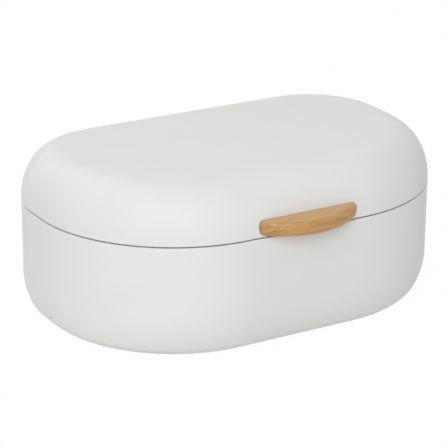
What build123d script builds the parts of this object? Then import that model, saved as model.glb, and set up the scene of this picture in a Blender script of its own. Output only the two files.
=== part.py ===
from build123d import *

import os
from math import asin, cos, degrees, radians, sin, sqrt

# Bread box of pressed sheet steel: a tub, a lid hinged behind it and a wooden pull on the lid.
# Millimetres. X runs to the right seen from the front, the front faces -Y, Z is up, the feet stand at zero.
# The origin is under the middle of the whole footprint, handle and hinges included.

# Box plan: straight runs joined by wider corners in front and tighter ones behind
front_straight = 111.0
side_straight = 20.6
front_corner_radius = 124.5
rear_corner_radius = 84.5

# How far a cutting shape runs past what it cuts
overrun = 5.0

# Sheet and the seam between tub and lid
sheet = 0.8
bend_radius = 1.2
seam_gap = 1.0

# Tub: the lower edge is a small arc at the floor that runs into a large arc at the wall
base_edge_small_radius = 18.5
base_edge_large_radius = 57.7
base_edge_turn = 26.4
base_wall_straight = 62.6
neck_height = 5.0
neck_clearance = 0.8

# Lid: its upper edge is made the same way, and its rim is turned in
lid_edge_small_radius = 32.0
lid_edge_large_radius = 53.4
lid_edge_turn = 29.1
lid_wall_straight = 0.7
lid_flange = 4.4

# Vent holes in the back of the tub
vent_count = 5
vent_radius = 3.0
vent_spacing = 14.0
vent_drop = 26.0

# Wooden pull handle and its screws
handle_length = 93.6
handle_height = 14.1
handle_projection = 19.6
handle_end_depth = 0.5
handle_end_upper_radius = 5.0
handle_end_lower_radius = 6.5
handle_nose_upper_radius = 3.7
handle_nose_lower_radius = 6.0
handle_view_allowance = 0.05
handle_lift = 0.9
screw_spacing = 48.0
screw_radius = 2.0
screw_reach = 10.0
screw_tip = 1.2
screw_head_radius = 3.9
screw_head_height = 2.4
screw_head_edge = 1.2
screw_recess_width = 1.0
screw_recess_length = 4.4
screw_recess_depth = 1.3
screw_hole_clearance = 0.2
screw_pilot_clearance = 0.03
washer_radius = 5.0
washer_thickness = 0.8

# Hinges
hinge_end_margin = 15.0
leaf_width = 40.0
leaf_thickness = 1.2
leaf_corner_radius = 3.0
base_leaf_drop = 20.0
lid_leaf_rise = 14.4
knuckle_radius = 3.0
lid_knuckle_length = 15.2
knuckle_axial_gap = 0.4
knuckle_notch_gap = 0.5
pin_radius = 1.5
pin_clearance = 0.05
pin_head_radius = 2.2
pin_head_thickness = 0.8
pin_head_gap = 0.1
lid_open_angle = 98.0
stop_tail_length = 10.0
stop_clearance = 0.2

# Rivets of the hinge leaves
rivet_radius = 1.6
rivet_clearance = 0.05
rivet_head_radius = 3.0
rivet_head_height = 1.3
rivet_head_edge = 0.9
rivet_tail_height = 0.7
rivet_spacing = 24.0
base_rivet_drop = 12.5
lid_rivet_rise = 8.3

# Silicone feet and rim bumpers
foot_height = 2.5
foot_radius = 7.0
foot_edge_radius = 0.8
foot_margin = 12.0
bumper_radius = 1.4
bumper_spacing = 80.0
bumper_clearance = 0.05


def edge_reach(small_radius, large_radius, turn):
    """How far a two-arc edge comes in from the wall, where the large arc turns through the given angle."""
    return large_radius - (large_radius - small_radius) * cos(radians(turn))


def edge_rise(small_radius, large_radius, turn):
    """How far a two-arc edge runs along the wall."""
    return small_radius + (large_radius - small_radius) * sin(radians(turn))


# Sizes that follow from the ones above
length = front_straight + 2 * front_corner_radius
depth = front_corner_radius + side_straight + rear_corner_radius
rear_straight = length - 2 * rear_corner_radius
bend_inner_radius = bend_radius - sheet
base_reach = edge_reach(base_edge_small_radius, base_edge_large_radius, base_edge_turn)
base_rise = edge_rise(base_edge_small_radius, base_edge_large_radius, base_edge_turn)
lid_reach = edge_reach(lid_edge_small_radius, lid_edge_large_radius, lid_edge_turn)
lid_rise = edge_rise(lid_edge_small_radius, lid_edge_large_radius, lid_edge_turn)
neck_inset = lid_flange + neck_clearance

# Heights
rim_z = foot_height + base_rise + base_wall_straight + bend_radius
hinge_axis_z = rim_z + seam_gap / 2
lid_edge_z = rim_z + seam_gap
lid_wall_z = lid_edge_z + bend_radius
lid_arc_z = lid_wall_z + lid_wall_straight
lid_top_z = lid_arc_z + lid_rise

# Front and back, with the footprint of handle and hinge tails centred on the origin
hinge_reach = knuckle_radius + stop_tail_length
front_wall_y = (handle_projection - depth - hinge_reach) / 2
rear_wall_y = front_wall_y + depth
hinge_axis_y = rear_wall_y + knuckle_radius
hinge_x = rear_straight / 2 - hinge_end_margin - leaf_width / 2
base_knuckle_length = (leaf_width - lid_knuckle_length) / 2 - knuckle_axial_gap

SIDES = {"left": -1, "right": 1}

# Section plane at the middle of the front: first coordinate inwards from the wall, second one up
front_section = Plane(origin=(0, front_wall_y, 0), x_dir=(0, 1, 0), z_dir=(1, 0, 0))


def plan_outline(inset):
    """Draws the box plan, moved inwards, from the middle of the front all the way round."""
    front_radius = front_corner_radius - inset
    rear_radius = rear_corner_radius - inset
    front_y = front_wall_y + inset
    rear_y = rear_wall_y - inset
    side_x = length / 2 - inset
    front_x = front_straight / 2
    rear_x = rear_straight / 2
    front_centre_y = front_wall_y + front_corner_radius
    rear_centre_y = rear_wall_y - rear_corner_radius
    Line((0, front_y), (front_x, front_y))
    CenterArc((front_x, front_centre_y), front_radius, 270, 90)
    Line((side_x, front_centre_y), (side_x, rear_centre_y))
    CenterArc((rear_x, rear_centre_y), rear_radius, 0, 90)
    Line((rear_x, rear_y), (-rear_x, rear_y))
    CenterArc((-rear_x, rear_centre_y), rear_radius, 90, 90)
    Line((-side_x, rear_centre_y), (-side_x, front_centre_y))
    CenterArc((-front_x, front_centre_y), front_radius, 180, 90)
    Line((-front_x, front_y), (0, front_y))


def lid_wall_plane(turn, facing):
    """Plane on the lid's wall where its large arc has turned by an angle; its normal points out of the lid.

    facing is -1 for the front wall and 1 for the back wall.
    """
    wall_y = front_wall_y if facing < 0 else rear_wall_y
    inset = lid_edge_large_radius * (1 - cos(radians(turn)))
    height = lid_edge_large_radius * sin(radians(turn))
    return Plane(
        origin=(0, wall_y - facing * inset, lid_arc_z + height),
        x_dir=(1, 0, 0),
        z_dir=(0, facing * cos(radians(turn)), sin(radians(turn))),
    )


def lid_arc_turn(rise):
    """Angle through which the lid's large arc has turned at a height above its start."""
    return degrees(asin(rise / lid_edge_large_radius))


def rear_wall_plane(drop):
    """Plane on the tub's straight back, a given drop below the hinge axis; its normal points backwards."""
    return Plane(origin=(0, rear_wall_y, hinge_axis_z - drop), x_dir=(1, 0, 0), z_dir=(0, 1, 0))


def hinge_section(x):
    """Plane across a hinge with its origin on the axis: first coordinate backwards, second one up."""
    return Plane(origin=(x, hinge_axis_y, hinge_axis_z), x_dir=(0, 1, 0), z_dir=(1, 0, 0))


def seat_sagitta(radius, half_width):
    """Gap left under the middle of a flat disc that sits inside a hollow of the given radius."""
    return radius - sqrt(radius**2 - half_width**2)


def finish(piece, name):
    """Labels a finished piece and writes it."""
    piece.label = name
    export_step(piece, f"parts/{name}.step")


os.makedirs("parts", exist_ok=True)

# The handle's screws go through the lid square to its wall, at half the handle's height
handle_bottom_z = lid_edge_z + handle_lift
handle_top_z = handle_bottom_z + handle_height
handle_middle_z = (handle_bottom_z + handle_top_z) / 2
handle_plane = lid_wall_plane(lid_arc_turn(handle_middle_z - lid_arc_z), -1)
screw_places = [(side * screw_spacing / 2, 0) for side in SIDES.values()]
screw_hole_radius = screw_radius + screw_hole_clearance

# Rivets of both hinges lie in one plane on the tub and one on the lid
base_rivet_plane = rear_wall_plane(base_rivet_drop)
lid_rivet_plane = lid_wall_plane(lid_arc_turn(lid_rivet_rise), 1)
rivet_places = [
    (side * hinge_x + end * rivet_spacing / 2, 0) for side in SIDES.values() for end in SIDES.values()
]
rivet_hole_radius = rivet_radius + rivet_clearance

# Tub: one sheet section swept round the plan, closed by the flat floor
with BuildPart() as base_shell:
    with BuildLine() as base_path:
        plan_outline(0)
    with BuildSketch(front_section):
        with BuildLine():
            low = JernArc((base_reach, foot_height), (-1, 0), base_edge_small_radius, base_edge_turn - 90)
            high = JernArc(low @ 1, low % 1, base_edge_large_radius, -base_edge_turn)
            wall = Line(high @ 1, (0, rim_z - bend_radius))
            rim = JernArc(wall @ 1, wall % 1, bend_radius, -90)
            shelf = Line(rim @ 1, (neck_inset - bend_inner_radius, rim_z))
            turn_up = JernArc(shelf @ 1, shelf % 1, bend_inner_radius, 90)
            Line(turn_up @ 1, (neck_inset, rim_z + neck_height))
            offset(amount=sheet, side=Side.RIGHT)
        make_face()
    sweep(path=base_path.line)
    with BuildSketch(Plane.XY.offset(foot_height)):
        with BuildLine():
            plan_outline(base_reach)
        make_face()
    extrude(amount=sheet)
    with BuildSketch(base_rivet_plane):
        with Locations(*rivet_places):
            Circle(rivet_hole_radius)
    extrude(amount=overrun, both=True, mode=Mode.SUBTRACT)
    with BuildSketch(rear_wall_plane(vent_drop)):
        with GridLocations(vent_spacing, vent_spacing, vent_count, 1):
            Circle(vent_radius)
    extrude(amount=overrun, both=True, mode=Mode.SUBTRACT)
finish(base_shell.part, "base_shell")

# Lid: the same way, from its flat top down to the flange turned in at its rim
with BuildPart() as lid_shell:
    with BuildLine() as lid_path:
        plan_outline(0)
    with BuildSketch(front_section):
        with BuildLine():
            high = JernArc((lid_reach, lid_top_z), (-1, 0), lid_edge_small_radius, 90 - lid_edge_turn)
            low = JernArc(high @ 1, high % 1, lid_edge_large_radius, lid_edge_turn)
            wall = Line(low @ 1, (0, lid_wall_z))
            rim = JernArc(wall @ 1, wall % 1, bend_radius, 90)
            Line(rim @ 1, (lid_flange, lid_edge_z))
            offset(amount=sheet, side=Side.LEFT)
        make_face()
    sweep(path=lid_path.line)
    with BuildSketch(Plane.XY.offset(lid_top_z)):
        with BuildLine():
            plan_outline(lid_reach)
        make_face()
    extrude(amount=-sheet)
    with BuildSketch(handle_plane):
        with Locations(*screw_places):
            Circle(screw_hole_radius)
    extrude(amount=overrun, both=True, mode=Mode.SUBTRACT)
    with BuildSketch(lid_rivet_plane):
        with Locations(*rivet_places):
            Circle(rivet_hole_radius)
    extrude(amount=overrun, both=True, mode=Mode.SUBTRACT)
finish(lid_shell.part, "lid_shell")

# Handle: a ring with a rounded nose, cut to length by its front view and to the lid's wall behind
bow_rise = handle_projection - handle_end_depth
bow_radius = ((handle_length / 2) ** 2 + bow_rise**2) / (2 * bow_rise)
bow_centre = (0, front_wall_y - handle_projection + bow_radius, 0)
ring_width = handle_projection + overrun
with BuildPart() as handle:
    with BuildSketch(Plane(origin=bow_centre, x_dir=(0, -1, 0), z_dir=(-1, 0, 0))) as nose:
        with Locations((bow_radius - ring_width / 2, handle_middle_z)):
            Rectangle(ring_width, handle_height)
        fillet(nose.vertices().group_by(Axis.X)[-1].sort_by(Axis.Y)[0], handle_nose_lower_radius)
        fillet(nose.vertices().group_by(Axis.X)[-1].sort_by(Axis.Y)[-1], handle_nose_upper_radius)
    revolve(axis=Axis(bow_centre, (0, 0, 1)))
    with BuildSketch(Plane.XZ.offset(handle_projection - front_wall_y)) as front_view:
        with Locations((0, handle_middle_z)):
            Rectangle(handle_length, handle_height + 2 * handle_view_allowance)
        fillet(front_view.vertices().group_by(Axis.Y)[0], handle_end_lower_radius)
        fillet(front_view.vertices().group_by(Axis.Y)[-1], handle_end_upper_radius)
    extrude(amount=-2 * handle_projection, mode=Mode.INTERSECT)
    with BuildSketch(front_section):
        with BuildLine():
            back = Line((0, lid_edge_z), (0, lid_arc_z))
            back_turn = lid_arc_turn(handle_top_z + overrun - lid_arc_z)
            curve = JernArc(back @ 1, back % 1, lid_edge_large_radius, -back_turn)
            behind = handle_projection + overrun
            Polyline(curve @ 1, (behind, (curve @ 1).Y), (behind, lid_edge_z), back @ 0)
        make_face()
    extrude(amount=handle_length, both=True, mode=Mode.SUBTRACT)
    with BuildSketch(handle_plane):
        with Locations(*screw_places):
            Circle(screw_radius + screw_pilot_clearance)
    extrude(amount=screw_reach + screw_tip, both=True, mode=Mode.SUBTRACT)
finish(handle.part, "handle")

# Washers lie across the hollow of the lid's wall, so they touch it at two edges
washer_seat = sheet + seat_sagitta(lid_edge_large_radius - sheet, washer_radius)
with BuildPart() as handle_washers:
    with BuildSketch(handle_plane.offset(-washer_seat)):
        with Locations(*screw_places):
            Circle(washer_radius)
            Circle(screw_hole_radius, mode=Mode.SUBTRACT)
    extrude(amount=-washer_thickness)
finish(handle_washers.part, "handle_washers")

screw_head_plane = handle_plane.offset(-washer_seat - washer_thickness)
inward = Axis(handle_plane.origin, -handle_plane.z_dir)
with BuildPart() as handle_screws:
    with BuildSketch(screw_head_plane):
        with Locations(*screw_places):
            Circle(screw_head_radius)
    extrude(amount=-screw_head_height)
    fillet(handle_screws.edges().group_by(inward)[-1], screw_head_edge)
    with BuildSketch(screw_head_plane):
        with Locations(*screw_places):
            Circle(screw_radius)
    extrude(amount=screw_reach + washer_seat + washer_thickness)
    chamfer(handle_screws.edges().group_by(inward)[0], screw_tip)
    with BuildSketch(screw_head_plane.offset(-screw_head_height)):
        with Locations(*screw_places):
            Rectangle(screw_recess_length, screw_recess_width)
            Rectangle(screw_recess_width, screw_recess_length)
    extrude(amount=screw_recess_depth, mode=Mode.SUBTRACT)
finish(handle_screws.part, "handle_screws")

# Hinges: leaves outside the back, two tub knuckles beside one lid knuckle that carries the stop tail
notch_radius = knuckle_radius + knuckle_notch_gap
base_knuckle_x = (lid_knuckle_length + base_knuckle_length) / 2 + knuckle_axial_gap
base_notch_length = base_knuckle_length + 2 * knuckle_axial_gap
lid_notch_length = lid_knuckle_length + 2 * knuckle_axial_gap
tail_offset = knuckle_radius - leaf_thickness - stop_clearance
pin_bore_radius = pin_radius + pin_clearance

for side, sign in SIDES.items():
    section = hinge_section(sign * hinge_x)

    with BuildPart() as base_leaf:
        with BuildSketch(section):
            with Locations((leaf_thickness / 2 - knuckle_radius, -base_leaf_drop / 2)):
                Rectangle(leaf_thickness, base_leaf_drop)
        extrude(amount=leaf_width / 2, both=True)
        fillet(base_leaf.edges().filter_by(Axis.Y).group_by(Axis.Z)[0], leaf_corner_radius)
        with BuildSketch(section):
            Circle(notch_radius)
        extrude(amount=lid_notch_length / 2, both=True, mode=Mode.SUBTRACT)
        for knuckle_x in (-base_knuckle_x, base_knuckle_x):
            with BuildSketch(section.offset(knuckle_x)):
                Circle(knuckle_radius)
            extrude(amount=base_knuckle_length / 2, both=True)
        with BuildSketch(section):
            Circle(pin_bore_radius)
        extrude(amount=leaf_width, both=True, mode=Mode.SUBTRACT)
        with BuildSketch(base_rivet_plane):
            with Locations(*rivet_places):
                Circle(rivet_hole_radius)
        extrude(amount=overrun, both=True, mode=Mode.SUBTRACT)
    finish(base_leaf.part, f"base_leaf_{side}")

    with BuildPart() as lid_leaf:
        with BuildSketch(section):
            with BuildLine():
                tab = Line((-knuckle_radius, 0), (-knuckle_radius, lid_arc_z - hinge_axis_z))
                JernArc(tab @ 1, tab % 1, lid_edge_large_radius, lid_arc_turn(lid_leaf_rise))
                offset(amount=leaf_thickness, side=Side.RIGHT)
            make_face()
        extrude(amount=leaf_width / 2, both=True)
        across = lid_leaf.edges().filter_by(GeomType.LINE).filter_by(Axis.X, reverse=True)
        fillet(across.sort_by(Axis.Z)[-2:], leaf_corner_radius)
        for knuckle_x in (-base_knuckle_x, base_knuckle_x):
            with BuildSketch(section.offset(knuckle_x)):
                Circle(notch_radius)
            extrude(amount=base_notch_length / 2, both=True, mode=Mode.SUBTRACT)
        with BuildSketch(section):
            Circle(knuckle_radius)
            with PolarLocations(0, 1, start_angle=lid_open_angle):
                with Locations((leaf_thickness / 2 - tail_offset, -stop_tail_length / 2)):
                    Rectangle(leaf_thickness, stop_tail_length)
        extrude(amount=lid_knuckle_length / 2, both=True)
        with BuildSketch(section):
            Circle(pin_bore_radius)
        extrude(amount=leaf_width, both=True, mode=Mode.SUBTRACT)
        with BuildSketch(lid_rivet_plane):
            with Locations(*rivet_places):
                Circle(rivet_hole_radius)
        extrude(amount=overrun, both=True, mode=Mode.SUBTRACT)
    finish(lid_leaf.part, f"lid_leaf_{side}")

    with BuildPart() as hinge_pin:
        with BuildSketch(section):
            Circle(pin_radius)
        extrude(amount=leaf_width / 2 + pin_head_gap, both=True)
        for head_x in (-1, 1):
            with BuildSketch(section.offset(head_x * (leaf_width / 2 + pin_head_gap))):
                Circle(pin_head_radius)
            extrude(amount=head_x * pin_head_thickness)
    finish(hinge_pin.part, f"hinge_pin_{side}")

# Rivets: a domed head outside, the shank through leaf and wall, a flatter head inside
for name, plane, seat in (
    ("base_rivets", base_rivet_plane, 0),
    ("lid_rivets", lid_rivet_plane, seat_sagitta(lid_edge_large_radius - sheet, rivet_head_radius)),
):
    outward = Axis(plane.origin, plane.z_dir)
    inner_plane = plane.offset(-sheet - seat)
    with BuildPart() as rivets:
        with BuildSketch(plane.offset(leaf_thickness)):
            with Locations(*rivet_places):
                Circle(rivet_head_radius)
        extrude(amount=rivet_head_height)
        fillet(rivets.edges().group_by(outward)[-1], rivet_head_edge)
        with BuildSketch(inner_plane):
            with Locations(*rivet_places):
                Circle(rivet_radius)
        extrude(amount=sheet + seat + leaf_thickness)
        with BuildSketch(inner_plane):
            with Locations(*rivet_places):
                Circle(rivet_head_radius)
        extrude(amount=-rivet_tail_height)
    finish(rivets.part, name)

# Feet under the flat floor: in front on the corners' diagonals, behind at the ends of the straight back
foot_inset = base_reach + foot_margin
front_foot_reach = (front_corner_radius - foot_inset) * cos(radians(45))
foot_rows = {
    "front": (front_straight / 2 + front_foot_reach, front_wall_y + front_corner_radius - front_foot_reach),
    "rear": (rear_straight / 2, rear_wall_y - foot_inset),
}
for row, (foot_x, foot_y) in foot_rows.items():
    for side, sign in SIDES.items():
        with BuildPart() as foot:
            with BuildSketch(Plane((sign * foot_x, foot_y, 0))):
                Circle(foot_radius)
            extrude(amount=foot_height)
            fillet(foot.edges().group_by(Axis.Z)[0], foot_edge_radius)
        finish(foot.part, f"foot_{row}_{side}")

# Bumpers on the rim's shelf carry the closed lid
bumper_inset = (bend_radius + lid_flange) / 2
side_middle_y = front_wall_y + front_corner_radius + side_straight / 2
bumper_rows = {
    "front": (bumper_spacing / 2, front_wall_y + bumper_inset),
    "side": (length / 2 - bumper_inset, side_middle_y),
}
for row, (bumper_x, bumper_y) in bumper_rows.items():
    for side, sign in SIDES.items():
        with BuildPart() as bumper:
            with BuildSketch(Plane((sign * bumper_x, bumper_y, rim_z))):
                Circle(bumper_radius)
            extrude(amount=seam_gap - bumper_clearance)
        finish(bumper.part, f"bumper_{row}_{side}")
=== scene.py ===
"""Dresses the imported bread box: pressed and powder-coated shells, an oiled wooden pull, plated hinges."""

from math import asin, cos, pi, radians, sin

import bmesh
import bpy
from bpy.props import FloatProperty, FloatVectorProperty, IntProperty, PointerProperty
from mathutils import Matrix, Quaternion, Vector


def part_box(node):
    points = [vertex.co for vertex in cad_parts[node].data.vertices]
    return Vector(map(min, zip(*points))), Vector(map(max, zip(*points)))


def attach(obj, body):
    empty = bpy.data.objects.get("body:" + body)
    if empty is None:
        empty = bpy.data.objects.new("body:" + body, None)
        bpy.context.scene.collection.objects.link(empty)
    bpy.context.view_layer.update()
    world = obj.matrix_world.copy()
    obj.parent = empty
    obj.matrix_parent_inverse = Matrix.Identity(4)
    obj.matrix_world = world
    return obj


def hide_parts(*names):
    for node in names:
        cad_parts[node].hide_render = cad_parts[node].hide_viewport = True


bl_info = {
    "name": "Bread Box",
    "version": (1, 0, 0),
    "blender": (4, 5, 0),
    "location": "View3D > Sidebar > Bread Box",
    "description": "Builds the shells, pull, hinges and stage of a bread box with a hinged lid",
    "category": "Add Mesh",
}

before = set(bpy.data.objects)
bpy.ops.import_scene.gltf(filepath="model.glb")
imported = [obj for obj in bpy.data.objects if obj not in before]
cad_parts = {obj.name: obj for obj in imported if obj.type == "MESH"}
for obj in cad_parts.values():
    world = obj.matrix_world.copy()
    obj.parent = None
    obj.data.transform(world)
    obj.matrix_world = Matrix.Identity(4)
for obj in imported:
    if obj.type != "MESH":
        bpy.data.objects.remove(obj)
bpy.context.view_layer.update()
TUB_LOW, TUB_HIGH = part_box("base_shell")
LID_LOW, LID_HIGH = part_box("lid_shell")
PULL_LOW, PULL_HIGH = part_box("handle")

MILLIMETRE = 0.001
ALONG_X = (1.0, 0.0, 0.0)
ALONG_Z = (0.0, 0.0, 1.0)
QUARTER = pi / 2
SAME_POINT = 0.002 * MILLIMETRE
BLACK = (0.0, 0.0, 0.0)
WHITE = (1.0, 1.0, 1.0)

# Steps of the arcs and corners
EDGE_STEPS = 14
TUB_WALL_ARC_STEPS = 8
TUB_WALL_PARTS = 3
BEND_STEPS = 6
NECK_STEPS = 5
CORNER_STEPS = 44
NOSE_LOWER_STEPS = 12
NOSE_UPPER_STEPS = 10
BOW_STEPS = 90
PULL_CORNER_STEPS = 12
VENT_STEPS = 40
ROLLER_STEPS = 360
ROUNDING_STEPS = 2

# Angles above which an edge counts as sharp, and below which faces count as one
SHARP = radians(35.0)
SHARP_SHEET = radians(50.0)
FLAT = radians(0.4)

# How far sweeps and throwaway cutters reach past the piece
AMPLE = 4
BOW_OVERRUN = 4 / 3
VENT_DEPTH_IN_SHEETS = 8

# Sanding of the pull and evenness of the shading
SANDING_FACTOR = 0.5
SANDING_PASSES = 6
SHADING_WEIGHT = 80

# Openness of a gap at which the painted shade on the coat is darkest, and at which the coat is plain
CREVICE_DEEP = 0.1
CREVICE_OPEN = 0.45
CREVICE_SAMPLES = 12

# Shares of the pull's half height and half length at which the painted top light and the darker ends begin
TOP_LIGHT_FROM = 0.84
END_DARKENING_FROM = 0.93

# Brighter patches of the silicone, the floor's size and place, and the camera's sensor
SILICONE_LIFT = 1.08
FLOOR_HALF = 7.0
FLOOR_DROP = 0.1 * MILLIMETRE
SENSOR_WIDTH = 36.0


def size(name, description, millimetres):
    """A length setting, written in millimetres."""
    return FloatProperty(
        name=name,
        description=description,
        default=millimetres * MILLIMETRE,
        min=0.0,
        precision=5,
        unit="LENGTH",
        subtype="DISTANCE",
    )


def turn(name, description, degrees):
    """An angle setting, written in degrees."""
    return FloatProperty(
        name=name, description=description, default=radians(degrees), unit="ROTATION", subtype="ANGLE"
    )


def tint(name, description, colour):
    """A colour setting, in linear red, green and blue."""
    return FloatVectorProperty(
        name=name, description=description, default=colour, min=0.0, max=1.0, size=3, subtype="COLOR"
    )


def share(name, description, value, most=1.0):
    """A plain number setting."""
    return FloatProperty(name=name, description=description, default=value, min=0.0, max=most)


def watts(name, description, power):
    """A lamp's power setting."""
    return FloatProperty(name=name, description=description, default=power, unit="POWER")


class BreadBoxShape(bpy.types.PropertyGroup):
    """Sizes of the shells, the pull and the rounded edges of the small parts."""

    front_corner: size("Front corners", "Plan radius of the two corners in front", 124.5)
    rear_corner: size("Rear corners", "Plan radius of the two corners behind", 84.5)
    sheet: size("Sheet", "Thickness of the sheet steel", 0.8)
    bend: size("Rim bend", "Outer radius of the bends at the seam", 1.2)
    tub_small: size("Tub lower arc", "Radius of the tub's edge at the floor", 18.5)
    tub_large: size("Tub upper arc", "Radius of the tub's edge where it runs into the wall", 57.7)
    tub_turn: turn("Tub arc turn", "Angle of the tub's larger arc", 26.4)
    neck_inset: size("Neck inset", "How far the neck stands in from the tub's wall", 5.2)
    neck_height: size("Neck height", "How far the neck stands up into the lid", 5.0)
    lid_small: size("Lid upper arc", "Radius of the lid's edge at the flat top", 32.0)
    lid_large: size("Lid lower arc", "Radius of the lid's edge where it runs into the wall", 53.4)
    lid_turn: turn("Lid arc turn", "Angle of the lid's larger arc", 29.1)
    lid_flange: size("Lid flange", "Width of the rim turned in under the lid", 4.4)
    sheet_edge: size("Sheet edge", "Rounding that the coating leaves on cut sheet edges", 0.22)
    vent_count: IntProperty(name="Vents", description="Number of vent holes in the back", default=5, min=1)
    vent_radius: size("Vent radius", "Radius of a vent hole", 3.0)
    vent_spacing: size("Vent spacing", "Distance between vent holes", 14.0)
    vent_drop: size("Vent drop", "How far the vents lie below the seam", 26.0)
    pull_end: size("Pull end depth", "How deep the pull is at its two ends", 0.5)
    pull_end_upper: size("Pull upper corners", "Radius of its upper corners seen from the front", 5.0)
    pull_end_lower: size("Pull lower corners", "Radius of its lower corners seen from the front", 6.5)
    pull_nose_upper: size("Pull upper nose", "Rounding of the pull's upper front edge", 3.7)
    pull_nose_lower: size("Pull lower nose", "Rounding of the pull's lower front edge", 6.0)
    pull_allowance: size("Pull allowance", "Room above and below the pull where its ends are cut", 0.05)
    pull_grit: size("Pull sanding", "Size of the mesh that sanding softens the pull's edges on", 0.4)
    plate_edge: size("Plate edges", "Rounding of stamped plate edges", 0.18)
    soft_edge: size("Soft edges", "Rounding of moulded silicone edges", 0.25)


class BreadBoxFinish(bpy.types.PropertyGroup):
    """Colours and finish."""

    paint: tint("Paint", "Powder coat", (0.798, 0.812, 0.796))
    paint_shade: tint("Paint shade", "Slightly thicker coating", (0.773, 0.787, 0.771))
    # Painted shade: how much of the coat's colour is left where tight gaps darken it, and how near facing
    # surfaces must be
    painted_crevice_shade: share("Painted crevice shade", "How much of the coat's tone is left in tight gaps", 0.35)
    painted_shade_reach: size("Painted shade reach", "How near a facing surface has to be to make a gap", 2.0)
    wood_light: tint("Light wood", "Early wood", (0.638, 0.37, 0.144))
    wood_dark: tint("Dark wood", "Late wood", (0.392, 0.192, 0.0585))
    # Painted light: the pull's upper face is blended towards this paler colour as if lit from above with a
    # grazing sheen
    wood_painted_top_light: tint("Painted top light", "Upper face, which handling has worn pale", (0.70, 0.475, 0.235))
    painted_top_light_share: share("Painted top light share", "How pale the upper face is worn", 0.42)
    # Also the colour of the darker ends, which stand for end grain and for painted shade
    wood_pore_and_end_shade: tint("Wood pores", "Open pores and end grain", (0.26, 0.12, 0.04))
    wood_end_grain_and_shade: share("End grain and shade", "How dark the two ends are", 0.55)
    steel: tint("Plating", "Zinc plate", (0.66, 0.67, 0.67))
    steel_dull: tint("Dull plating", "Passivated patches", (0.54, 0.55, 0.54))
    silicone: tint("Silicone", "Feet and bumpers", (0.56, 0.56, 0.55))
    floor: tint("Floor", "Studio floor", (0.91, 0.91, 0.91))


class BreadBoxStage(bpy.types.PropertyGroup):
    """Light and camera."""

    world_level: share("World level", "Even light from all round", 0.461, 5.0)
    key_power: watts("Key light", "Soft light above the camera", 20.0)
    key_azimuth: turn("Key azimuth", "Turn of the key light about the box", -37.0)
    key_elevation: turn("Key elevation", "How high the key light stands", 35.0)
    top_power: watts("Top light", "Soft light overhead", 5.0)
    top_azimuth: turn("Top azimuth", "Turn of the top light about the box", 0.0)
    top_elevation: turn("Top elevation", "How high the top light stands", 88.0)
    rear_power: watts("Rear light", "Soft light behind", 8.0)
    rear_azimuth: turn("Rear azimuth", "Turn of the rear light about the box", -165.0)
    rear_elevation: turn("Rear elevation", "How high the rear light stands", 40.0)
    lamp_width: size("Lamp width", "Width of each soft light", 1200.0)
    lamp_distance: size("Lamp distance", "From each soft light to the box", 2200.0)
    floor_glow: share("Floor glow", "Share of plain white in the floor where it is seen", 0.985)
    aim_height: size("Aim height", "Height of the point that the camera looks at", 77.5)
    azimuth: turn("Azimuth", "Turn of the camera about the box, rightwards from straight ahead", -30.8919)
    elevation: turn("Elevation", "How far the camera looks down", 20.4285)
    roll: turn("Roll", "Turn of the camera about its own line of sight", 0.5)
    distance: size("Distance", "From the camera to the point it looks at", 1755.043)
    lens: FloatProperty(
        name="Lens", description="Focal length in millimetres", default=163.249, unit="CAMERA"
    )
    shift_x: FloatProperty(name="Shift X", description="Sideways shift of the frame", default=-0.02680)
    shift_y: FloatProperty(name="Shift Y", description="Upward shift of the frame", default=-0.01973)


def edge_reach(small, large, angle):
    """How far a two-arc edge comes in from the wall."""
    return large - (large - small) * cos(angle)


def edge_rise(small, large, angle):
    """How far a two-arc edge runs along the wall."""
    return small + (large - small) * sin(angle)


# Mesh tools


def only(kind, geometry):
    """The vertices, edges or faces in an operator's result."""
    return [part for part in geometry if isinstance(part, kind)]


def run_straight(bm, tip, step):
    """Draws a section on in a straight line and returns its new end."""
    made = bmesh.ops.extrude_vert_indiv(bm, verts=[tip])
    bmesh.ops.translate(bm, verts=made["verts"], vec=step)
    return made["verts"][0]


def run_arc(bm, tip, centre, angle, steps, axis=ALONG_X):
    """Draws a section on along an arc and returns its new end."""
    made = bmesh.ops.spin(bm, geom=[tip], cent=centre, axis=axis, angle=angle, steps=steps)
    return only(bmesh.types.BMVert, made["geom_last"])[0]


def sweep_straight(bm, rail, step):
    """Pulls the edges of a section straight and returns the edges at its far end."""
    made = bmesh.ops.extrude_edge_only(bm, edges=rail)["geom"]
    bmesh.ops.translate(bm, verts=only(bmesh.types.BMVert, made), vec=step)
    ends = set(only(bmesh.types.BMVert, made))
    return [edge for edge in only(bmesh.types.BMEdge, made) if ends.issuperset(edge.verts)]


def sweep_corner(bm, rail, centre, angle, steps):
    """Turns the edges of a section about an upright axis and returns the edges at its far end."""
    points = {point for edge in rail for point in edge.verts}
    made = bmesh.ops.spin(bm, geom=rail + list(points), cent=centre, axis=ALONG_Z, angle=angle, steps=steps)
    return only(bmesh.types.BMEdge, made["geom_last"])


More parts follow.
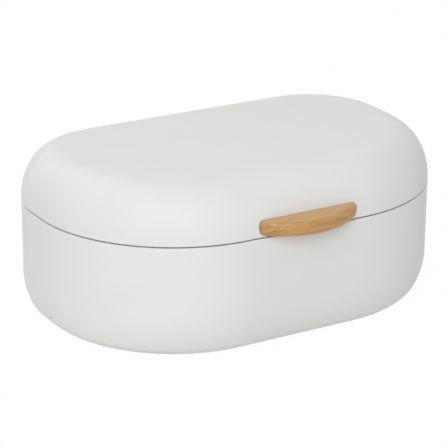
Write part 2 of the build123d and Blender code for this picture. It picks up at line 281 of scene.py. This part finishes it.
def sweep_plan(bm, shape):
    """Sweeps the section round the right half of the plan, then mirrors it to the left."""
    front_half = TUB_HIGH.x - shape.front_corner
    rear_half = TUB_HIGH.x - shape.rear_corner
    front_centre = Vector((front_half, TUB_LOW.y + shape.front_corner, 0.0))
    rear_centre = Vector((rear_half, TUB_HIGH.y - shape.rear_corner, 0.0))
    rail = sweep_straight(bm, bm.edges[:], (front_half, 0.0, 0.0))
    rail = sweep_corner(bm, rail, front_centre, QUARTER, CORNER_STEPS)
    rail = sweep_straight(bm, rail, (0.0, rear_centre.y - front_centre.y, 0.0))
    rail = sweep_corner(bm, rail, rear_centre, QUARTER, CORNER_STEPS)
    sweep_straight(bm, rail, (-rear_half, 0.0, 0.0))
    everything = bm.verts[:] + bm.edges[:] + bm.faces[:]
    bmesh.ops.mirror(bm, geom=everything, matrix=Matrix.Identity(4), axis="X", merge_dist=SAME_POINT)
    bmesh.ops.remove_doubles(bm, verts=bm.verts[:], dist=SAME_POINT)


def close_flat(bm, height, margin):
    """Fills the open ring at a height with a flat panel that has one ring of faces round it."""
    ring = [
        edge for edge in bm.edges
        if edge.is_boundary and all(abs(point.co.z - height) < SAME_POINT for point in edge.verts)
    ]
    panel = bmesh.ops.contextual_create(bm, geom=ring)["faces"]
    bmesh.ops.inset_region(bm, faces=panel, thickness=margin, use_even_offset=True)


def face_outwards(bm, height):
    """Makes the normals agree and point away from the inside, judged by the flat panel at a height."""
    bmesh.ops.recalc_face_normals(bm, faces=bm.faces[:])
    flat = max(bm.faces, key=lambda face: face.calc_area())
    upwards = height > (TUB_HIGH.z + TUB_LOW.z) / 2
    if (flat.normal.z > 0.0) != upwards:
        bmesh.ops.reverse_faces(bm, faces=bm.faces[:])


def sharp_edges(bm, least):
    """Edges between two faces that meet at more than an angle."""
    return [edge for edge in bm.edges if edge.is_manifold and edge.calc_face_angle() > least]


def round_edges(bm, edges, width, segments=ROUNDING_STEPS):
    """Rounds edges to a width."""
    bmesh.ops.bevel(
        bm,
        geom=edges,
        offset=width,
        offset_type="OFFSET",
        segments=segments,
        profile=0.5,
        affect="EDGES",
        clamp_overlap=True,
        material=-1,
    )


def add_object(name, bm):
    """Puts a finished bmesh into the scene as an object at the origin."""
    mesh = bpy.data.meshes.new(name)
    bm.to_mesh(mesh)
    bm.free()
    thing = bpy.data.objects.new(name, mesh)
    bpy.context.scene.collection.objects.link(thing)
    return thing


def add_cutter(bm):
    """A throwaway object for a Boolean modifier."""
    bmesh.ops.recalc_face_normals(bm, faces=bm.faces[:])
    return add_object("cutter", bm)


def cut(piece, cutter, operation):
    """Adds a Boolean modifier with a throwaway object."""
    boolean = piece.modifiers.new(operation.lower(), "BOOLEAN")
    boolean.operation = operation
    boolean.solver = "EXACT"
    boolean.object = cutter


def apply_modifiers(piece, cutters=()):
    """Writes the modifiers into the mesh and removes the throwaway objects."""
    view = bpy.context.evaluated_depsgraph_get()
    mesh = bpy.data.meshes.new_from_object(piece.evaluated_get(view))
    piece.modifiers.clear()
    old = piece.data
    piece.data = mesh
    mesh.name = piece.name
    bpy.data.meshes.remove(old)
    for cutter in cutters:
        spare = cutter.data
        bpy.data.objects.remove(cutter)
        bpy.data.meshes.remove(spare)


def edit(piece):
    """Opens a piece's mesh as a bmesh with its doubles merged."""
    bm = bmesh.new()
    bm.from_mesh(piece.data)
    bmesh.ops.remove_doubles(bm, verts=bm.verts[:], dist=SAME_POINT)
    return bm


def shade_smooth(bm):
    """Marks every face as smooth."""
    for face in bm.faces:
        face.smooth = True


def write_back(piece, bm):
    """Writes an edited bmesh back, smooth all over."""
    shade_smooth(bm)
    bm.to_mesh(piece.data)
    bm.free()


def thicken(piece, thickness):
    """Gives a swept sheet its thickness, inwards from its outer face."""
    wall = piece.modifiers.new("sheet", "SOLIDIFY")
    wall.thickness = thickness
    wall.offset = -1.0
    wall.use_even_offset = True


def round_sheet(piece, width):
    """Rounds the cut edges of a finished sheet."""
    bm = edit(piece)
    round_edges(bm, sharp_edges(bm, SHARP_SHEET), width)
    write_back(piece, bm)


def dress(piece, material, body, slot, *nodes):
    """Gives a piece its material, its even shading and its place in the frame."""
    piece.data.materials.clear()
    piece.data.materials.append(material)
    shading = piece.modifiers.new("even_shading", "WEIGHTED_NORMAL")
    shading.mode = "FACE_AREA"
    shading.weight = SHADING_WEIGHT
    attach(piece, body)
    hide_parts(*nodes)


def soften(node, width):
    """A merged copy of a node with its sharp edges rounded."""
    bm = edit(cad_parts[node])
    bmesh.ops.dissolve_limit(bm, angle_limit=FLAT, verts=bm.verts[:], edges=bm.edges[:])
    round_edges(bm, sharp_edges(bm, SHARP), width)
    shade_smooth(bm)
    return add_object(node + "_finished", bm)


# Shader tools


def add(tree, kind, inputs=None, **settings):
    """Adds a node, with its settings and with values or links for its inputs."""
    node = tree.nodes.new(kind)
    for key, value in settings.items():
        setattr(node, key, value)
    for key, value in (inputs or {}).items():
        if isinstance(value, bpy.types.NodeSocket):
            tree.links.new(value, node.inputs[key])
        else:
            node.inputs[key].default_value = value
    return node


def new_group(name, numbers, result):
    """A shader group with a vector input, number inputs and one number output."""
    tree = bpy.data.node_groups.get(name)
    if tree:
        return tree, None, None
    tree = bpy.data.node_groups.new(name, "ShaderNodeTree")
    tree.interface.new_socket(name="Vector", in_out="INPUT", socket_type="NodeSocketVector")
    for key, value in numbers.items():
        socket = tree.interface.new_socket(name=key, in_out="INPUT", socket_type="NodeSocketFloat")
        socket.default_value = value
    tree.interface.new_socket(name=result, in_out="OUTPUT", socket_type="NodeSocketFloat")
    return tree, tree.nodes.new("NodeGroupInput").outputs, tree.nodes.new("NodeGroupOutput").inputs


def mottle_group():
    """Slow, cloudy change over a surface, from 0 to 1."""
    tree, given, out = new_group("mottle", {"Scale": 12.0, "Detail": 4.0}, "Mask")
    if given:
        clouds = add(
            tree,
            "ShaderNodeTexNoise",
            {
                "Vector": given["Vector"],
                "Scale": given["Scale"],
                "Detail": given["Detail"],
                "Roughness": 0.55,
            },
        )
        full = add(
            tree, "ShaderNodeMapRange", {"Value": clouds.outputs["Fac"], "From Min": 0.3, "From Max": 0.7}
        )
        tree.links.new(full.outputs["Result"], out["Mask"])
    return tree


def tooth_group():
    """Fine tooth of a coated, plated or moulded surface, as a height from 0 to 1."""
    tree, given, out = new_group("tooth", {"Scale": 600.0, "Softness": 0.5}, "Height")
    if given:
        coarse = add(
            tree,
            "ShaderNodeTexNoise",
            {
                "Vector": given["Vector"],
                "Scale": given["Scale"],
                "Detail": 2.0,
                "Roughness": given["Softness"],
            },
        )
        tree.links.new(coarse.outputs["Fac"], out["Height"])
    return tree


def streak_group():
    """Fibres or rolling marks drawn out along X, from 0 to 1."""
    tree, given, out = new_group("streaks", {"Length": 20.0, "Width": 600.0, "Detail": 5.0}, "Mask")
    if given:
        stretch = add(
            tree,
            "ShaderNodeCombineXYZ",
            {"X": given["Length"], "Y": given["Width"], "Z": given["Width"]},
        )
        drawn = add(
            tree,
            "ShaderNodeVectorMath",
            {0: given["Vector"], 1: stretch.outputs["Vector"]},
            operation="MULTIPLY",
        )
        fibres = add(
            tree,
            "ShaderNodeTexNoise",
            {"Vector": drawn.outputs["Vector"], "Scale": 1.0, "Detail": given["Detail"], "Roughness": 0.6},
        )
        full = add(
            tree, "ShaderNodeMapRange", {"Value": fibres.outputs["Fac"], "From Min": 0.28, "From Max": 0.72}
        )
        tree.links.new(full.outputs["Result"], out["Mask"])
    return tree


def grouped(tree, group, inputs):
    """Places a shader group and returns its one output."""
    return add(tree, "ShaderNodeGroup", inputs, node_tree=group).outputs[0]


def ramp(tree, mask, *stops):
    """A colour ramp over a mask; each stop is a place and a colour."""
    node = add(tree, "ShaderNodeValToRGB", {"Fac": mask})
    points = node.color_ramp.elements
    while len(points) < len(stops):
        points.new(0.5)
    for point, (place, colour) in zip(points, stops):
        point.position = place
        point.color = (*colour, 1.0)
    return node.outputs["Color"]


def spread(tree, mask, low, high):
    """Turns a mask into a range of values."""
    node = add(tree, "ShaderNodeMapRange", {"Value": mask, "To Min": low, "To Max": high})
    return node.outputs["Result"]


def relief(tree, height, strength, distance):
    """A normal from a height."""
    node = add(tree, "ShaderNodeBump", {"Height": height, "Strength": strength, "Distance": distance})
    return node.outputs["Normal"]


def new_material(name):
    """An empty material with its tree and its object coordinates."""
    material = bpy.data.materials.new(name)
    material.use_nodes = True
    tree = material.node_tree
    tree.nodes.clear()
    return material, tree, add(tree, "ShaderNodeTexCoord").outputs["Object"]


def surface(tree, inputs):
    """The Principled shader of a material, joined to its output."""
    shader = add(tree, "ShaderNodeBsdfPrincipled", inputs)
    add(tree, "ShaderNodeOutputMaterial", {"Surface": shader.outputs["BSDF"]})


def powder_coat(finish):
    """Satin white powder coat with a faint orange peel, with painted shade darkening it in tight gaps."""
    material = bpy.data.materials.get("powder_coat")
    if material:
        return material
    material, tree, place = new_material("powder_coat")
    clouds = grouped(tree, mottle_group(), {"Vector": place, "Scale": 14.0, "Detail": 3.0})
    peel = grouped(tree, tooth_group(), {"Vector": place, "Scale": 520.0, "Softness": 0.35})
    coat = ramp(tree, clouds, (0.0, finish.paint_shade), (1.0, finish.paint))
    # Painted shade: ambient occlusion darkens the coat's colour in tight gaps such as the seam
    openness = add(
        tree, "ShaderNodeAmbientOcclusion", {"Distance": finish.painted_shade_reach}, samples=CREVICE_SAMPLES
    ).outputs["AO"]
    tone = add(
        tree,
        "ShaderNodeMapRange",
        {
            "Value": openness,
            "From Min": CREVICE_DEEP,
            "From Max": CREVICE_OPEN,
            "To Min": finish.painted_crevice_shade,
            "To Max": 1.0,
        },
    ).outputs["Result"]
    coat_with_painted_shade = add(
        tree,
        "ShaderNodeMixRGB",
        {"Fac": 1.0, "Color1": coat, "Color2": tone},
        blend_type="MULTIPLY",
    ).outputs["Color"]
    surface(
        tree,
        {
            "Base Color": coat_with_painted_shade,
            "Roughness": spread(tree, clouds, 0.46, 0.54),
            "Specular IOR Level": 0.3,
            "Normal": relief(tree, peel, 0.12, 0.2 * MILLIMETRE),
        },
    )
    return material


def oiled_wood(finish):
    """Light oiled hardwood with its grain along the pull, darker at its ends from end grain and painted
    shade, and with painted light on its top.
    """
    material, tree, place = new_material("oiled_wood")
    centre = (PULL_LOW + PULL_HIGH) / 2
    local = add(
        tree, "ShaderNodeVectorMath", {0: place, 1: tuple(centre)}, operation="SUBTRACT"
    ).outputs["Vector"]
    layers = add(tree, "ShaderNodeMapping", {"Vector": local, "Scale": (1.0, 0.3, 1.0)}).outputs["Vector"]
    streaks = streak_group()
    bands = grouped(tree, streaks, {"Vector": layers, "Length": 4.0, "Width": 330.0, "Detail": 2.0})
    fibres = grouped(tree, streaks, {"Vector": layers, "Length": 9.0, "Width": 1000.0, "Detail": 3.0})
    pores = grouped(tree, streaks, {"Vector": layers, "Length": 120.0, "Width": 2600.0, "Detail": 2.0})
    figure = add(
        tree, "ShaderNodeMix", {"Factor": 0.5, "A": bands, "B": fibres}, data_type="FLOAT"
    ).outputs["Result"]
    grain = ramp(tree, figure, (0.15, finish.wood_light), (0.85, finish.wood_dark))
    parts = add(tree, "ShaderNodeSeparateXYZ", {"Vector": local}).outputs
    # Painted light: the colour turns paler towards the top of the pull
    half_height = PULL_HIGH.z - centre.z
    painted_top_light = add(
        tree,
        "ShaderNodeMapRange",
        {
            "Value": parts["Z"],
            "From Min": TOP_LIGHT_FROM * half_height,
            "From Max": half_height,
            "To Max": finish.painted_top_light_share,
        },
        interpolation_type="SMOOTHSTEP",
    ).outputs["Result"]
    # Darker towards both ends: end grain, and painted shade where the ends turn away from the light
    from_middle = add(tree, "ShaderNodeMath", {0: parts["X"]}, operation="ABSOLUTE").outputs["Value"]
    end_grain_and_shade = add(
        tree,
        "ShaderNodeMapRange",
        {
            "Value": from_middle,
            "From Min": END_DARKENING_FROM * PULL_HIGH.x,
            "From Max": PULL_HIGH.x,
            "To Max": finish.wood_end_grain_and_shade,
        },
        interpolation_type="SMOOTHSTEP",
    ).outputs["Result"]
    open_pores = ramp(tree, pores, (0.0, WHITE), (0.16, BLACK))
    dark = add(tree, "ShaderNodeMath", {0: open_pores, 1: end_grain_and_shade}, operation="MAXIMUM").outputs["Value"]
    with_pores_and_end_shade = add(
        tree,
        "ShaderNodeMixRGB",
        {"Fac": dark, "Color1": grain, "Color2": (*finish.wood_pore_and_end_shade, 1.0)},
    ).outputs["Color"]
    mixed = add(
        tree,
        "ShaderNodeMixRGB",
        {"Fac": painted_top_light, "Color1": with_pores_and_end_shade, "Color2": (*finish.wood_painted_top_light, 1.0)},
    ).outputs["Color"]
    surface(
        tree,
        {
            "Base Color": mixed,
            "Roughness": spread(tree, fibres, 0.44, 0.58),
            "Normal": relief(tree, figure, 0.10, 0.2 * MILLIMETRE),
        },
    )
    return material


def zinc_plate(finish):
    """Bright zinc plate with rolling marks and dull patches."""
    material = bpy.data.materials.get("zinc_plate")
    if material:
        return material
    material, tree, place = new_material("zinc_plate")
    patches = grouped(tree, mottle_group(), {"Vector": place, "Scale": 190.0, "Detail": 3.0})
    marks = grouped(tree, streak_group(), {"Vector": place, "Length": 60.0, "Width": 3200.0, "Detail": 3.0})
    surface(
        tree,
        {
            "Base Color": ramp(tree, patches, (0.0, finish.steel_dull), (1.0, finish.steel)),
            "Metallic": 1.0,
            "Roughness": spread(tree, patches, 0.42, 0.28),
            "Normal": relief(tree, marks, 0.08, 0.1 * MILLIMETRE),
        },
    )
    return material


def matt_silicone(finish):
    """Matt grey silicone with a fine moulded tooth."""
    material, tree, place = new_material("matt_silicone")
    clouds = grouped(tree, mottle_group(), {"Vector": place, "Scale": 240.0, "Detail": 2.0})
    tooth = grouped(tree, tooth_group(), {"Vector": place, "Scale": 2600.0, "Softness": 0.6})
    lighter = [min(1.0, value * SILICONE_LIFT) for value in finish.silicone]
    surface(
        tree,
        {
            "Base Color": ramp(tree, clouds, (0.0, finish.silicone), (1.0, lighter)),
            "Roughness": spread(tree, clouds, 0.55, 0.66),
            "Normal": relief(tree, tooth, 0.15, 0.1 * MILLIMETRE),
        },
    )
    return material


# Pieces


class BREADBOX_OT_tub(bpy.types.Operator):
    """Sweep the tub's sheet section round the plan, close the floor and cut the vents"""

    bl_idname = "breadbox.tub"
    bl_label = "Tub"

    def execute(self, context):
        shape = context.scene.breadbox_shape
        front = TUB_LOW.y
        floor = TUB_LOW.z
        rim = TUB_HIGH.z - shape.neck_height
        reach = edge_reach(shape.tub_small, shape.tub_large, shape.tub_turn)
        rise = edge_rise(shape.tub_small, shape.tub_large, shape.tub_turn)
        inner_bend = shape.bend - shape.sheet
        wall_height = rim - shape.bend - floor - rise
        bm = bmesh.new()
        tip = bm.verts.new((0.0, front + reach, floor))
        lower_centre = (0.0, front + reach, floor + shape.tub_small)
        upper_centre = (0.0, front + shape.tub_large, floor + rise)
        tip = run_arc(bm, tip, lower_centre, shape.tub_turn - QUARTER, EDGE_STEPS)
        tip = run_arc(bm, tip, upper_centre, -shape.tub_turn, TUB_WALL_ARC_STEPS)
        for _ in range(TUB_WALL_PARTS):
            tip = run_straight(bm, tip, (0.0, 0.0, (wall_height - shape.bend) / TUB_WALL_PARTS))
        tip = run_straight(bm, tip, (0.0, 0.0, shape.bend))
        tip = run_arc(bm, tip, (0.0, front + shape.bend, rim - shape.bend), -QUARTER, BEND_STEPS)
        tip = run_straight(bm, tip, (0.0, shape.neck_inset - inner_bend - shape.bend, 0.0))
        neck_centre = (0.0, front + shape.neck_inset - inner_bend, rim + inner_bend)
        tip = run_arc(bm, tip, neck_centre, QUARTER, NECK_STEPS)
        run_straight(bm, tip, (0.0, 0.0, shape.neck_height - inner_bend))
        sweep_plan(bm, shape)
        close_flat(bm, floor, shape.tub_small / 2)
        face_outwards(bm, floor)
        tub = add_object("tub", bm)
        thicken(tub, shape.sheet)
        vents = bmesh.new()
        first = -(shape.vent_count - 1) / 2
        for index in range(shape.vent_count):
            place = Vector(((first + index) * shape.vent_spacing, TUB_HIGH.y, rim - shape.vent_drop))
            bmesh.ops.create_cone(
                vents,
                cap_ends=True,
                segments=VENT_STEPS,
                radius1=shape.vent_radius,
                radius2=shape.vent_radius,
                depth=shape.sheet * VENT_DEPTH_IN_SHEETS,
                matrix=Matrix.Translation(place) @ Matrix.Rotation(QUARTER, 4, "X"),
            )
        cutter = add_cutter(vents)
        cut(tub, cutter, "DIFFERENCE")
        apply_modifiers(tub, [cutter])
        round_sheet(tub, shape.sheet_edge)
        dress(tub, powder_coat(context.scene.breadbox_finish), "base", "painted_shell", "base_shell")
        return {"FINISHED"}


class BREADBOX_OT_lid(bpy.types.Operator):
    """Sweep the lid's sheet section round the plan and close its flat top"""

    bl_idname = "breadbox.lid"
    bl_label = "Lid"

    def execute(self, context):
        shape = context.scene.breadbox_shape
        front = LID_LOW.y
        top = LID_HIGH.z
        edge = LID_LOW.z
        reach = edge_reach(shape.lid_small, shape.lid_large, shape.lid_turn)
        rise = edge_rise(shape.lid_small, shape.lid_large, shape.lid_turn)
        bm = bmesh.new()
        tip = bm.verts.new((0.0, front + reach, top))
        upper_centre = (0.0, front + reach, top - shape.lid_small)
        lower_centre = (0.0, front + shape.lid_large, top - rise)
        tip = run_arc(bm, tip, upper_centre, QUARTER - shape.lid_turn, EDGE_STEPS)
        tip = run_arc(bm, tip, lower_centre, shape.lid_turn, EDGE_STEPS)
        tip = run_straight(bm, tip, (0.0, 0.0, edge + shape.bend - top + rise))
        tip = run_arc(bm, tip, (0.0, front + shape.bend, edge + shape.bend), QUARTER, BEND_STEPS)
        run_straight(bm, tip, (0.0, shape.lid_flange - shape.bend, 0.0))
        sweep_plan(bm, shape)
        close_flat(bm, top, shape.lid_small / 2)
        face_outwards(bm, top)
        lid = add_object("lid", bm)
        thicken(lid, shape.sheet)
        apply_modifiers(lid)
        round_sheet(lid, shape.sheet_edge)
        dress(lid, powder_coat(context.scene.breadbox_finish), "lid", "painted_shell", "lid_shell")
        return {"FINISHED"}


class BREADBOX_OT_pull(bpy.types.Operator):
    """Turn the wooden pull's rounded nose about its bow, cut its ends and fit its back to the lid"""

    bl_idname = "breadbox.pull"
    bl_label = "Wooden pull"

    def execute(self, context):
        shape = context.scene.breadbox_shape
        pull = add_object("wooden_pull", self.nose(shape))
        block = self.front_view(shape)
        rise = edge_rise(shape.lid_small, shape.lid_large, shape.lid_turn)
        axis = Vector((0.0, LID_LOW.y + shape.lid_large, LID_HIGH.z - rise))
        core = self.lid_core(shape, axis)
        lower = self.lid_wall(shape, axis)
        cut(pull, block, "INTERSECT")
        cut(pull, core, "DIFFERENCE")
        cut(pull, lower, "DIFFERENCE")
        fine = pull.modifiers.new("sanding_mesh", "REMESH")
        fine.mode = "VOXEL"
        fine.voxel_size = shape.pull_grit
        sanding = pull.modifiers.new("sanding", "SMOOTH")
        sanding.factor = SANDING_FACTOR
        sanding.iterations = SANDING_PASSES
        apply_modifiers(pull, [block, core, lower])
        write_back(pull, edit(pull))
        dress(pull, oiled_wood(context.scene.breadbox_finish), "lid", "handle_wood", "handle")
        return {"FINISHED"}

    def nose(self, shape):
        """The pull's section, with its rounded nose, spun about the centre of its bow."""
        half = PULL_HIGH.x
        bow = LID_LOW.y - shape.pull_end - PULL_LOW.y
        radius = (half**2 + bow**2) / (2 * bow)
        swing = asin(half / radius) * BOW_OVERRUN
        front, low, high = PULL_LOW.y, PULL_LOW.z, PULL_HIGH.z
        lower, upper = shape.pull_nose_lower, shape.pull_nose_upper
        deep = PULL_HIGH.y + upper - front
        bm = bmesh.new()
        tip = bm.verts.new((0.0, front + deep, low))
        tip = run_straight(bm, tip, (0.0, lower - deep, 0.0))
        tip = run_arc(bm, tip, (0.0, front + lower, low + lower), -QUARTER, NOSE_LOWER_STEPS)
        tip = run_straight(bm, tip, (0.0, 0.0, high - low - lower - upper))
        tip = run_arc(bm, tip, (0.0, front + upper, high - upper), -QUARTER, NOSE_UPPER_STEPS)
        tip = run_straight(bm, tip, (0.0, deep - upper, 0.0))
        run_straight(bm, tip, (0.0, 0.0, low - high))
        bmesh.ops.remove_doubles(bm, verts=bm.verts[:], dist=SAME_POINT)
        centre = Vector((0.0, front + radius, 0.0))
        first = Matrix.Rotation(-swing, 3, "Z")
        bmesh.ops.rotate(bm, verts=bm.verts[:], cent=centre, matrix=first)
        sweep_corner(bm, bm.edges[:], centre, 2 * swing, BOW_STEPS)
        bmesh.ops.holes_fill(bm, edges=[edge for edge in bm.edges if edge.is_boundary])
        bmesh.ops.recalc_face_normals(bm, faces=bm.faces[:])
        return bm

    def front_view(self, shape):
        """A block as wide and high as the pull, with the rounded corners of its front view."""
        middle = (PULL_LOW + PULL_HIGH) / 2
        span = PULL_HIGH - PULL_LOW
        scale = Matrix.Diagonal((span.x, AMPLE * span.y, span.z + 2 * shape.pull_allowance, 1.0))
        block = bmesh.new()
        bmesh.ops.create_cube(block, size=1.0, matrix=Matrix.Translation(middle) @ scale)
        for radius, is_upper in ((shape.pull_end_lower, False), (shape.pull_end_upper, True)):
            corners = [
                edge for edge in block.edges
                if abs(edge.verts[0].co.y - edge.verts[1].co.y) > SAME_POINT
                and (edge.verts[0].co.z > middle.z) == is_upper
            ]
            round_edges(block, corners, radius, PULL_CORNER_STEPS)
        return add_cutter(block)

    def lid_core(self, shape, axis):
        """A roller as large as the lid's lower arc."""
        core = bmesh.new()
        bmesh.ops.create_cone(
            core,
            cap_ends=True,
            segments=ROLLER_STEPS,
            radius1=shape.lid_large,
            radius2=shape.lid_large,
            depth=AMPLE * PULL_HIGH.x,
            matrix=Matrix.Translation(axis) @ Matrix.Rotation(QUARTER, 4, "Y"),
        )
        return add_cutter(core)

    def lid_wall(self, shape, axis):
        """A block that fills the space behind the lid's wall below that arc."""
        block = bmesh.new()
        scale = Matrix.Diagonal((AMPLE * PULL_HIGH.x, 2 * shape.lid_large, 2 * shape.lid_large, 1.0))
        place = axis - Vector((0.0, 0.0, shape.lid_large))
        bmesh.ops.create_cube(block, size=1.0, matrix=Matrix.Translation(place) @ scale)
        return add_cutter(block)


class BREADBOX_OT_hinges(bpy.types.Operator):
    """Finish the hinge leaves and pins with rounded edges and zinc plate"""

    bl_idname = "breadbox.hinges"
    bl_label = "Hinges"

    def execute(self, context):
        shape = context.scene.breadbox_shape
        steel = zinc_plate(context.scene.breadbox_finish)
        for side in ("left", "right"):
            for name, body in (("base_leaf", "base"), ("lid_leaf", "lid"), ("hinge_pin", "base")):
                node = f"{name}_{side}"
                dress(soften(node, shape.plate_edge), steel, body, "plated_steel", node)
        return {"FINISHED"}


class BREADBOX_OT_fixings(bpy.types.Operator):
    """Finish the rivets, screws and washers with rounded edges and zinc plate"""

    bl_idname = "breadbox.fixings"
    bl_label = "Rivets and screws"

    def execute(self, context):
        shape = context.scene.breadbox_shape
        steel = zinc_plate(context.scene.breadbox_finish)
        bodies = {
            "base_rivets": "base",
            "lid_rivets": "lid",
            "handle_screws": "lid",
            "handle_washers": "lid",
        }
        for node, body in bodies.items():
            dress(soften(node, shape.plate_edge / 2), steel, body, "plated_steel", node)
        return {"FINISHED"}


class BREADBOX_OT_rests(bpy.types.Operator):
    """Finish the feet and the rim bumpers with rounded edges and silicone"""

    bl_idname = "breadbox.rests"
    bl_label = "Feet and bumpers"

    def execute(self, context):
        shape = context.scene.breadbox_shape
        rubber = matt_silicone(context.scene.breadbox_finish)
        for row in ("foot_front", "foot_rear", "bumper_front", "bumper_side"):
            for side in ("left", "right"):
                node = f"{row}_{side}"
                dress(soften(node, shape.soft_edge), rubber, "base", "silicone", node)
        return {"FINISHED"}


# Stage


def aim(thing, place, target, roll=0.0):
    """Puts a lamp or the camera at a place, looking at a target."""
    thing.location = place
    upright = (place - target).to_track_quat("Z", "Y")
    thing.rotation_euler = (upright @ Quaternion(ALONG_Z, roll)).to_euler()


def bearing(azimuth, elevation):
    """The direction from the box to a place at this turn from straight ahead and this height."""
    ahead = cos(elevation)
    return Vector((sin(azimuth) * ahead, -cos(azimuth) * ahead, sin(elevation)))


def add_softbox(name, stage, target, azimuth, elevation, power):
    """A square soft light."""
    lamp = bpy.data.lights.new(name, "AREA")
    lamp.energy = power
    lamp.size = stage.lamp_width
    softbox = bpy.data.objects.new(name, lamp)
    bpy.context.scene.collection.objects.link(softbox)
    place = target + bearing(azimuth, elevation) * stage.lamp_distance
    aim(softbox, place, target)


def seen_directly(tree):
    """1 for what the camera sees, also in a mirror or through glass."""
    path = add(tree, "ShaderNodeLightPath").outputs
    glossy = add(
        tree, "ShaderNodeMath", {0: path["Is Camera Ray"], 1: path["Is Glossy Ray"]}, operation="MAXIMUM"
    ).outputs["Value"]
    return add(
        tree, "ShaderNodeMath", {0: glossy, 1: path["Is Transmission Ray"]}, operation="MAXIMUM"
    ).outputs["Value"]


class BREADBOX_OT_stage(bpy.types.Operator):
    """Set up the floor, the soft studio light and the camera"""

    bl_idname = "breadbox.stage"
    bl_label = "Stage"

    def execute(self, context):
        stage = context.scene.breadbox_stage
        self.add_floor(context.scene.breadbox_finish, stage)
        self.add_world(stage)
        target = Vector((0.0, (TUB_LOW.y + TUB_HIGH.y) / 2, stage.aim_height))
        lamps = (
            ("key_softbox", stage.key_azimuth, stage.key_elevation, stage.key_power),
            ("top_softbox", stage.top_azimuth, stage.top_elevation, stage.top_power),
            ("rear_softbox", stage.rear_azimuth, stage.rear_elevation, stage.rear_power),
        )
        for name, azimuth, elevation, power in lamps:
            add_softbox(name, stage, target, azimuth, elevation, power)
        self.add_camera(stage, target)
        context.scene.view_settings.view_transform = "Standard"
        return {"FINISHED"}

    def add_floor(self, finish, stage):
        """A wide pale floor that shows as white and keeps the object's shadow."""
        bm = bmesh.new()
        bmesh.ops.create_grid(bm, x_segments=2, y_segments=2, size=FLOOR_HALF)
        bmesh.ops.translate(bm, verts=bm.verts[:], vec=(0.0, 0.0, -FLOOR_DROP))
        floor = add_object("floor", bm)
        material = bpy.data.materials.new("studio_floor")
        material.use_nodes = True
        tree = material.node_tree
        tree.nodes.clear()
        matt = add(tree, "ShaderNodeBsdfDiffuse", {"Color": (*finish.floor, 1.0)}).outputs["BSDF"]
        glow = add(tree, "ShaderNodeEmission", {"Color": (*WHITE, 1.0)}).outputs["Emission"]
        share_of_glow = add(
            tree, "ShaderNodeMath", {0: seen_directly(tree), 1: stage.floor_glow}, operation="MULTIPLY"
        ).outputs["Value"]
        mixed = add(tree, "ShaderNodeMixShader", {0: share_of_glow, 1: matt, 2: glow}).outputs["Shader"]
        add(tree, "ShaderNodeOutputMaterial", {"Surface": mixed})
        floor.data.materials.append(material)

    def add_world(self, stage):
        """Even light from all round, white where it is seen."""
        world = bpy.data.worlds.new("studio")
        world.use_nodes = True
        tree = world.node_tree
        tree.nodes.clear()
        level = add(
            tree,
            "ShaderNodeMapRange",
            {"Value": seen_directly(tree), "To Min": stage.world_level, "To Max": 1.0},
        ).outputs["Result"]
        sky = add(tree, "ShaderNodeBackground", {"Color": (*WHITE, 1.0), "Strength": level})
        add(tree, "ShaderNodeOutputWorld", {"Surface": sky.outputs["Background"]})
        bpy.context.scene.world = world

    def add_camera(self, stage, target):
        """The photograph's viewing angle."""
        back = bearing(stage.azimuth, stage.elevation)
        optics = bpy.data.cameras.new("camera")
        optics.lens = stage.lens
        optics.sensor_width = SENSOR_WIDTH
        optics.shift_x = stage.shift_x
        optics.shift_y = stage.shift_y
        camera = bpy.data.objects.new("camera", optics)
        bpy.context.scene.collection.objects.link(camera)
        aim(camera, target + back * stage.distance, target, stage.roll)
        bpy.context.scene.camera = camera


class BREADBOX_PT_panel(bpy.types.Panel):
    """Lists the steps and the settings of the bread box"""

    bl_idname = "BREADBOX_PT_panel"
    bl_label = "Bread Box"
    bl_space_type = "VIEW_3D"
    bl_region_type = "UI"
    bl_category = "Bread Box"

    def draw(self, context):
        for step in STEPS:
            self.layout.operator(step.bl_idname)
        scene = context.scene
        for settings in (scene.breadbox_shape, scene.breadbox_finish, scene.breadbox_stage):
            column = self.layout.column(align=True)
            for key in settings.bl_rna.properties.keys():
                if key not in ("rna_type", "name"):
                    column.prop(settings, key)


STEPS = (
    BREADBOX_OT_tub,
    BREADBOX_OT_lid,
    BREADBOX_OT_pull,
    BREADBOX_OT_hinges,
    BREADBOX_OT_fixings,
    BREADBOX_OT_rests,
    BREADBOX_OT_stage,
)
CLASSES = (BreadBoxShape, BreadBoxFinish, BreadBoxStage, *STEPS, BREADBOX_PT_panel)


def register():
    for kind in CLASSES:
        bpy.utils.register_class(kind)
    bpy.types.Scene.breadbox_shape = PointerProperty(type=BreadBoxShape)
    bpy.types.Scene.breadbox_finish = PointerProperty(type=BreadBoxFinish)
    bpy.types.Scene.breadbox_stage = PointerProperty(type=BreadBoxStage)


def unregister():
    del bpy.types.Scene.breadbox_stage
    del bpy.types.Scene.breadbox_finish
    del bpy.types.Scene.breadbox_shape
    for kind in reversed(CLASSES):
        bpy.utils.unregister_class(kind)


def main():
    """Builds every piece and the stage."""
    register()
    bpy.ops.breadbox.tub()
    bpy.ops.breadbox.lid()
    bpy.ops.breadbox.pull()
    bpy.ops.breadbox.hinges()
    bpy.ops.breadbox.fixings()
    bpy.ops.breadbox.rests()
    bpy.ops.breadbox.stage()


if __name__ == "__main__":
    main()
